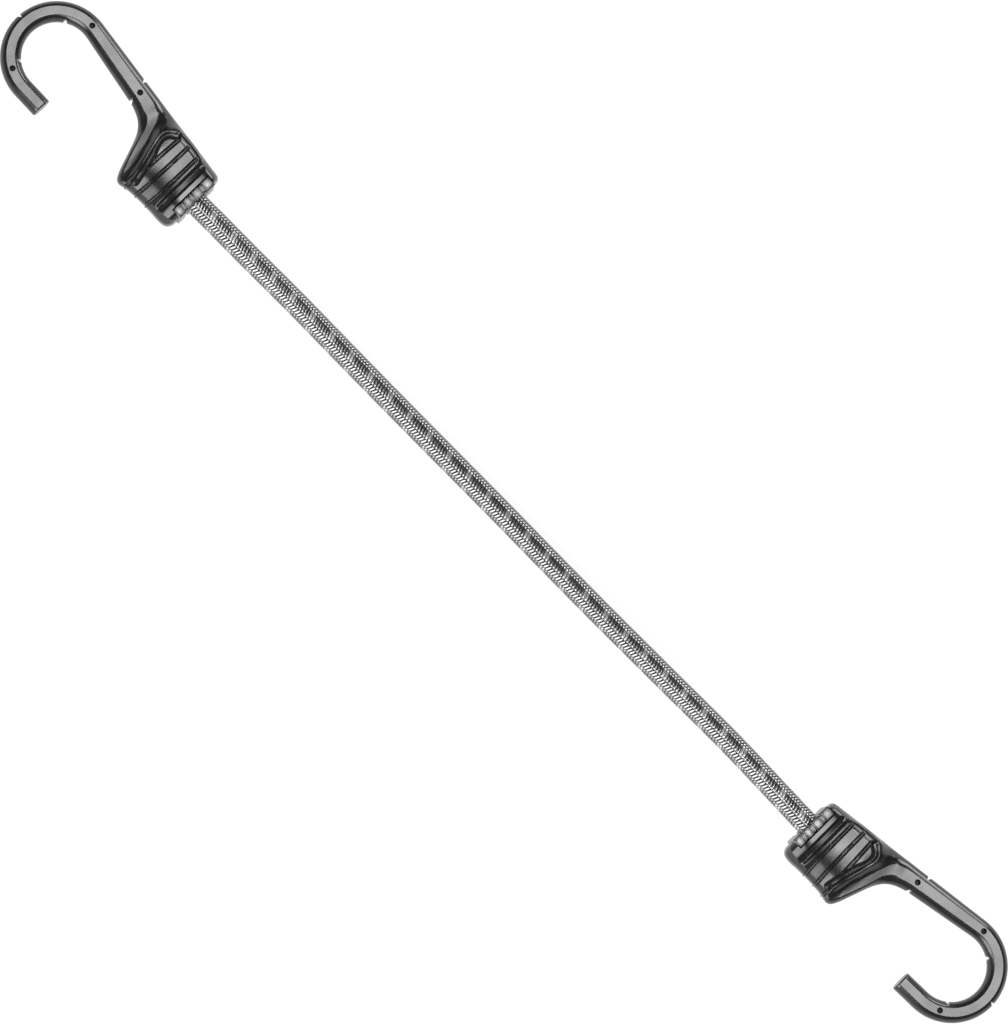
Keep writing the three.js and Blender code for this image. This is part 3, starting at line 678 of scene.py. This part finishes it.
def modify(piece, kind, **values):
    """Adds a modifier with these values and applies it."""
    pick(piece)
    modifier = piece.modifiers.new(kind.lower(), kind)
    for name, value in values.items():
        setattr(modifier, name, value)
    bpy.ops.object.modifier_apply(modifier=modifier.name)


def combine(piece, operation, others):
    """Cuts other solids out of a piece (DIFFERENCE) or makes them one with it (UNION)."""
    for other in others:
        modify(piece, "BOOLEAN", operation=operation, object=other, solver="MANIFOLD")
        bpy.data.objects.remove(other)


def rod(radius, length, sides, place=(0, 0, 0), turn=(0, 0, 0)):
    """A round rod, standing upright if it isn't turned."""
    bpy.ops.mesh.primitive_cylinder_add(
        vertices=sides, radius=radius, depth=length, location=place, rotation=turn)
    bpy.ops.object.transform_apply()
    return bpy.context.object


def box(middle, size):
    """A square-edged box."""
    bpy.ops.mesh.primitive_cube_add(size=1, location=middle, scale=size)
    bpy.ops.object.transform_apply()
    return bpy.context.object


def arm_middle(angle):
    """A point on the arm's centre line round the hook."""
    return on_arc((CROWN_RADIUS + SEAT_RADIUS) / 2, angle)


def stem_middle(share):
    """A point on the stem's centre line, from the arc (0) to its foot (1)."""
    throat = throat_tangent + (throat_foot - throat_tangent) * share
    back = back_tangent + (back_foot - back_tangent) * share
    return (throat + back) / 2


# The moulding's openings. Turns are round the hook's centre. The core's tunnel starts short of the
# tip and ends at the last points in the body.
PIN_HOLE_RADIUS = 1.02
PIN_HOLE_TURNS = np.radians((-62, 93))
STEM_PIN_HOLE = 0.98
PIN_HOLE_SIDES = 28
PIN_LENGTH = 10
NOTCH_HALF = 0.7
NOTCH_DEPTH = 1.7
NOTCH_CUTTER_HEIGHT = 12
CROWN_NOTCH_TURN = math.radians(2)
SEAT_NOTCH_TURNS = np.radians((-52, 57))
BACK_NOTCH_X = STEM_FOOT_X + 1.6
CORE_TIP = np.array([TIP_LEG - 2.7, 0.2])
CORE_END = [(33.2, 10.7), (29.6, 9.2), (27.5, 6.75), (26.2, 3.5)]
CORE_TUNNEL_RADIUS = 1.9
CORE_ARC_POINTS = 10
CORE_SIDES = 16
CORE_STEPS = 90
COLLAR_WINDOW = (2.9, 16.2)
WINDOW_HEIGHT = 30
WINDOW_OPENING = 4
SOCKET_RADIUS = 5.5
SOCKET_DEPTH = 19.3
SOCKET_START = 1
SOCKET_SIDES = 48
ALONG_THE_CORD = (0, math.pi / 2, 0)


def pin_holes():
    """Cutters for the round holes that the mould's pins leave in the land."""
    places = [arm_middle(turn) for turn in PIN_HOLE_TURNS] + [stem_middle(STEM_PIN_HOLE)]
    return [rod(PIN_HOLE_RADIUS, PIN_LENGTH, PIN_HOLE_SIDES, (x, y, 0)) for x, y in places]


def notch(edge, inward):
    """A cutter for a V notch in an edge, pointing into the material."""
    cutter = rod(1, NOTCH_CUTTER_HEIGHT, 3)
    along = np.array([-inward[1], inward[0]])
    corners = [
        edge + inward * NOTCH_DEPTH,
        edge - inward * NOTCH_DEPTH + along * NOTCH_HALF * 2,
        edge - inward * NOTCH_DEPTH - along * NOTCH_HALF * 2,
    ]
    places = []
    for vertex in cutter.data.vertices:
        third = round(math.atan2(vertex.co.x, vertex.co.y) / (2 * math.pi / 3)) % 3
        places.append((*corners[third], vertex.co.z))
    cutter.data.vertices.foreach_set("co", np.array(places).ravel())
    bpy.ops.object.mode_set(mode="EDIT")
    bpy.ops.mesh.select_all(action="SELECT")
    bpy.ops.mesh.normals_make_consistent(inside=False)
    bpy.ops.object.mode_set(mode="OBJECT")
    return cutter


def notches():
    """Cutters for all the notches."""
    def ray(turn):
        return np.array([math.cos(turn), math.sin(turn)])

    square = np.array([math.sin(BACK_LEAN), math.cos(BACK_LEAN)])
    return [
        notch(on_arc(CROWN_RADIUS, CROWN_NOTCH_TURN), -ray(CROWN_NOTCH_TURN)),
        *(notch(on_arc(SEAT_RADIUS, turn), ray(turn)) for turn in SEAT_NOTCH_TURNS),
        notch(throat_foot, square),
        notch(np.array([BACK_NOTCH_X, back_edge(BACK_NOTCH_X)]), -square),
    ]


def core_tunnel():
    """A cutter for the space that the steel core fills."""
    stem_angle = (back_angle + throat_angle) / 2
    line = [
        arm_middle(tip_angle) - CORE_TIP,
        *(arm_middle(tip_angle + (stem_angle - tip_angle) * share)
          for share in np.linspace(0, 1, CORE_ARC_POINTS)),
        *(stem_middle(share) for share in (1 / 3, 2 / 3, 1)),
        *CORE_END,
    ]
    fine = curve_through(np.arange(len(line)), line, np.linspace(0, len(line) - 1, CORE_STEPS))
    heading = np.gradient(fine, axis=0)
    heading /= np.linalg.norm(heading, axis=1)[:, None]
    side = np.stack([-heading[:, 1], heading[:, 0], np.zeros(len(fine))], axis=-1)
    rings = np.stack([
        np.column_stack([fine, np.zeros(len(fine))])
        + side * CORE_TUNNEL_RADIUS * math.cos(turn)
        + np.array([0, 0, CORE_TUNNEL_RADIUS * math.sin(turn)])
        for turn in np.linspace(0, 2 * math.pi, CORE_SIDES, endpoint=False)
    ], axis=1)
    return rolled_sheet("core_tunnel", rings)


def mouth_cutters():
    """Cutters for the window that the collar fills and for the socket behind it."""
    reach, width = COLLAR_WINDOW
    window_middle = ((reach - WINDOW_OPENING) / 2, 0, 0)
    window = box(window_middle, (reach + WINDOW_OPENING, width, WINDOW_HEIGHT))
    socket_middle = (SOCKET_START + SOCKET_DEPTH / 2, 0, 0)
    return [window, rod(SOCKET_RADIUS, SOCKET_DEPTH, SOCKET_SIDES, socket_middle, ALONG_THE_CORD)]


def hook_mesh():
    """The whole moulding in its own frame, in millimetres."""
    hook = hook_sheet()
    combine(hook, "DIFFERENCE", mouth_cutters() + [core_tunnel()] + pin_holes() + notches())
    return hook


def on_both_hooks(right, name, finish, crease_angle):
    """Finishes a piece and puts it on the right hook, and a copy of it turned over on the left."""
    right.data.materials.clear()
    right.data.materials.append(finish)
    right.data.polygons.foreach_set("material_index", [0] * len(right.data.polygons))
    left = right.copy()
    left.data = right.data.copy()
    bpy.context.collection.objects.link(left)
    out = Matrix.Translation((MOUTH_REACH, 0, 0)) @ Matrix.Scale(MM, 4)
    lifted = Matrix.Translation((0, cord_y, HALF_THICKNESS * MM))
    right.data.transform(lifted @ out)
    left.data.transform(lifted @ Matrix.Rotation(math.pi, 4, "Y") @ out)
    pair = (("right", right), ("left", left))
    for side, piece in pair:
        piece.name = f"{side}_{name}"
        piece.data.update()
        pick(piece)
        bpy.ops.object.shade_smooth_by_angle(angle=crease_angle)
    return pair


GRAIN_DETAIL = 3.0
GRAIN_HEIGHT = 0.1 * MM
GRAIN_ENDS = (0.35, 0.65)


def grain_group():
    """Fine grain and broad blotches on a moulded or drawn surface, from where they are on it."""
    group, given, result = node_group(
        "surface_grain", ["Grain Scale", "Blotch Scale", "Depth"], ["Shade", "Blotch"])
    nodes, links = group.nodes, group.links
    place = nodes.new("ShaderNodeTexCoord")
    grain = nodes.new("ShaderNodeTexNoise")
    grain.inputs["Detail"].default_value = GRAIN_DETAIL
    blotch = nodes.new("ShaderNodeTexNoise")
    bump = nodes.new("ShaderNodeBump")
    bump.inputs["Distance"].default_value = GRAIN_HEIGHT
    scales = ((grain, "Grain Scale", "Shade"), (blotch, "Blotch Scale", "Blotch"))
    for noise, scale, share in scales:
        links.new(place.outputs["Object"], noise.inputs["Vector"])
        links.new(given.outputs[scale], noise.inputs["Scale"])
        links.new(noise.outputs["Fac"], result.inputs[share])
    links.new(grain.outputs["Fac"], bump.inputs["Height"])
    links.new(given.outputs["Depth"], bump.inputs["Strength"])
    links.new(bump.outputs["Normal"], result.inputs["Normal"])
    return group


surface_grain = grain_group()


def grained_material(name, dark, light, roughness, depth, grain_scale, blotch_scale,
                     metallic=0.0, ior=1.5, specular=0.5):
    """A material that varies between two colours and two roughnesses over its surface."""
    material, tree, shader = new_material(name, light, roughness[0], metallic)
    settings = {"Grain Scale": grain_scale, "Blotch Scale": blotch_scale, "Depth": depth}
    grain = lay_pattern(tree, shader, surface_grain, settings, dark, light, GRAIN_ENDS)
    rough = tree.nodes.new("ShaderNodeMapRange")
    rough.inputs["From Min"].default_value, rough.inputs["From Max"].default_value = GRAIN_ENDS
    rough.inputs["To Min"].default_value, rough.inputs["To Max"].default_value = roughness
    tree.links.new(grain.outputs["Blotch"], rough.inputs["Value"])
    tree.links.new(rough.outputs["Result"], shader.inputs["Roughness"])
    shader.inputs["IOR"].default_value = ior
    shader.inputs["Specular IOR Level"].default_value = specular
    return material


black_nylon = grained_material(
    "black_nylon", (0.009, 0.009, 0.0094), (0.0145, 0.0145, 0.0151), (0.2, 0.26),
    depth=0.05, grain_scale=1900, blotch_scale=140)
MOULDING_CREASE = math.radians(58)

for side, piece in on_both_hooks(hook_mesh(), "hook_plastic", black_nylon, MOULDING_CREASE):
    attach(piece, f"{side}_hook")
    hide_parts(f"{side}_hook_moulding")

# Mouth collar
# A plastic ring that is pressed into the mouth and keeps the cord central. Its two faces are
# castellated: four blocks with three narrow slots between them, each slot with a low rib.
# Lengths are in millimetres in the hook's own frame, as for the moulding.
COLLAR_FRONT, COLLAR_BACK = -0.35, 2.75
COLLAR_HALF_WIDTH = 7.95
COLLAR_FLOOR = 5.7
COLLAR_BEVEL = 0.28
BEVEL_STEPS = 3
BLOCK_FRONT = -0.75
BLOCK_TOP = 6.8
BLOCKS = [(4.5, 8.0), (0.1, 3.45), (-3.8, -1.05), (-8.0, -4.9)]
SLOT_RIBS = [3.97, -0.48, -4.35]
SLOT_RIB_HALF = 0.2
SLOT_RIB_TOP = 6.15
SLOT_RIB_STEP = 0.1
SLOT_RIB_BEVEL = 0.08
BORE_RADIUS = 4.2
BORE_CUTTER_LENGTH = 12
BORE_SIDES = 64
BORE_LIP_RADIUS = 4.9
BORE_LIP_END_RADIUS = BORE_RADIUS - 0.3
BORE_LIP_LENGTH = 1.2
BORE_LIP_MIDDLE = BLOCK_FRONT + 0.4
COLLAR_CREASE = math.radians(40)


def block(x_range, y_range, top, bevel):
    """A box with bevelled edges, as far below the mid-plane as above it."""
    middle = (sum(x_range) / 2, sum(y_range) / 2, 0)
    piece = box(middle, (x_range[1] - x_range[0], y_range[1] - y_range[0], 2 * top))
    modify(piece, "BEVEL", width=bevel, segments=BEVEL_STEPS, limit_method="ANGLE")
    return piece


def collar_mesh():
    """The whole collar in the hook's frame."""
    ring = block((COLLAR_FRONT, COLLAR_BACK), (-COLLAR_HALF_WIDTH, COLLAR_HALF_WIDTH),
                 COLLAR_FLOOR, COLLAR_BEVEL)
    ribs = [
        block((COLLAR_FRONT - SLOT_RIB_STEP, COLLAR_BACK - SLOT_RIB_STEP),
              (y - SLOT_RIB_HALF, y + SLOT_RIB_HALF), SLOT_RIB_TOP, SLOT_RIB_BEVEL)
        for y in SLOT_RIBS
    ]
    blocks = [
        block((BLOCK_FRONT, COLLAR_BACK), y_range, BLOCK_TOP, COLLAR_BEVEL)
        for y_range in BLOCKS
    ]
    combine(ring, "UNION", ribs + blocks)
    bore = rod(BORE_RADIUS, BORE_CUTTER_LENGTH, BORE_SIDES, turn=ALONG_THE_CORD)
    bpy.ops.mesh.primitive_cone_add(
        vertices=BORE_SIDES, radius1=BORE_LIP_RADIUS, radius2=BORE_LIP_END_RADIUS,
        depth=BORE_LIP_LENGTH, location=(BORE_LIP_MIDDLE, 0, 0), rotation=ALONG_THE_CORD)
    bpy.ops.object.transform_apply()
    combine(ring, "DIFFERENCE", [bore, bpy.context.object])
    return ring


collar_plastic = grained_material(
    "collar_plastic", (0.011, 0.011, 0.0115), (0.026, 0.026, 0.027), (0.22, 0.29),
    depth=0.1, grain_scale=1600, blotch_scale=220, ior=1.6, specular=0.7)

for side, piece in on_both_hooks(collar_mesh(), "mouth_collar_ring", collar_plastic, COLLAR_CREASE):
    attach(piece, f"{side}_hook")
    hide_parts(f"{side}_mouth_collar")

# Steel core and crimp ferrule
# A bent steel wire moulded into each hook, and a pressed steel cup that is crimped on each end of
# the cord.
# Both lie hidden. The wire is coloured near-black, which paints shade at the bottom of the pin
# holes.
# Painted shade: the wire's near-black colour stands in for the shade down the pin holes, where the
# wire would otherwise catch the lamps.
wire_darkened_for_hole_shade = grained_material(
    "wire_darkened_for_hole_shade", (0.012, 0.012, 0.013), (0.03, 0.03, 0.031), (0.5, 0.62),
    depth=0.15, grain_scale=2200, blotch_scale=300, metallic=1.0)
pressed_steel = grained_material(
    "pressed_steel", (0.42, 0.42, 0.43), (0.58, 0.58, 0.59), (0.24, 0.38),
    depth=0.1, grain_scale=1800, blotch_scale=200, metallic=1.0)
for side in ("left", "right"):
    for node, finish in (("steel_core", wire_darkened_for_hole_shade), ("crimp_ferrule", pressed_steel)):
        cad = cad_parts[f"{side}_{node}"]
        cad.data.materials.clear()
        cad.data.materials.append(finish)

# Studio
# A plain table of white paper in a faintly lit white room. A soft lamp is straight over each hook,
# a large one on the hooks' open side and a smaller one across from it, for the cord's far edge.
FLOOR_SIZE = 6.0
FLOOR_DROP = 0.2 * MM
PAPER_SHEEN = 0.1
SEEN_WHITE = 0.93
SEEN_PAPER = 0.2
ROOM_STRENGTH = 0.05

bpy.ops.mesh.primitive_plane_add(size=FLOOR_SIZE, location=(0, 0, -FLOOR_DROP))
floor = bpy.context.object
floor.name = "table"
paper, paper_tree, paper_shader = new_material("white_paper", (0.7, 0.7, 0.7), 0.9)
paper_shader.inputs["Specular IOR Level"].default_value = PAPER_SHEEN

# Seen by the camera or in gloss, the paper is a glowing white that keeps a share of its shadows.
# What it throws back on the object is the plain paper's light.
add, link = paper_tree.nodes.new, paper_tree.links.new
paths = add("ShaderNodeLightPath")
is_seen = paths.outputs["Is Camera Ray"]
for ray in ("Is Glossy Ray", "Is Transmission Ray"):
    either = add("ShaderNodeMath")
    either.operation = "MAXIMUM"
    link(is_seen, either.inputs[0])
    link(paths.outputs[ray], either.inputs[1])
    is_seen = either.outputs[0]
white = add("ShaderNodeEmission")
white.inputs["Strength"].default_value = SEEN_WHITE
thinned = add("ShaderNodeMixShader")
thinned.inputs[0].default_value = SEEN_PAPER
link(paper_shader.outputs[0], thinned.inputs[2])
seen_paper = add("ShaderNodeAddShader")
link(thinned.outputs[0], seen_paper.inputs[0])
link(white.outputs[0], seen_paper.inputs[1])
mixed = add("ShaderNodeMixShader")
link(is_seen, mixed.inputs[0])
link(paper_shader.outputs[0], mixed.inputs[1])
link(seen_paper.outputs[0], mixed.inputs[2])
link(mixed.outputs[0], paper_tree.nodes["Material Output"].inputs["Surface"])
floor.data.materials.append(paper)

room = bpy.data.worlds.new("studio")
bpy.context.scene.world = room
room.use_nodes = True
room_light = room.node_tree.nodes["Background"]
room_light.inputs["Color"].default_value = (1, 1, 1, 1)
room_light.inputs["Strength"].default_value = ROOM_STRENGTH

HOOK_LAMP_X, HOOK_LAMP_Y, HOOK_LAMP_HEIGHT = 0.235, 0.075, 0.45
HOOK_LAMP_SPREAD = math.radians(50)


def soft_lamp(name, place, aim, size, radiance, spread=math.pi):
    """A rectangular lamp at a place, facing another, with its radiance as white is 1."""
    bpy.ops.object.light_add(type="AREA", location=place)
    lamp = bpy.context.object
    lamp.name = name
    lamp.rotation_euler = (Vector(place) - Vector(aim)).to_track_quat("Z", "Y").to_euler()
    lamp.data.shape = "RECTANGLE"
    lamp.data.size, lamp.data.size_y = size
    lamp.data.energy = radiance * math.pi * size[0] * size[1]
    lamp.data.spread = spread


for x in (-HOOK_LAMP_X, HOOK_LAMP_X):
    soft_lamp("over_the_hook", (x, HOOK_LAMP_Y, HOOK_LAMP_HEIGHT), (x, HOOK_LAMP_Y, 0),
              (0.25, 0.18), 1.2, HOOK_LAMP_SPREAD)
soft_lamp("open_side", (0, -0.83, 0.58), (0, 0, 0), (0.55, 1.15), 8.2)
soft_lamp("far_side", (0, 0.9, 0.2), (0, 0, 0), (0.5, 0.35), 9.0)

bpy.context.scene.view_settings.view_transform = "Standard"
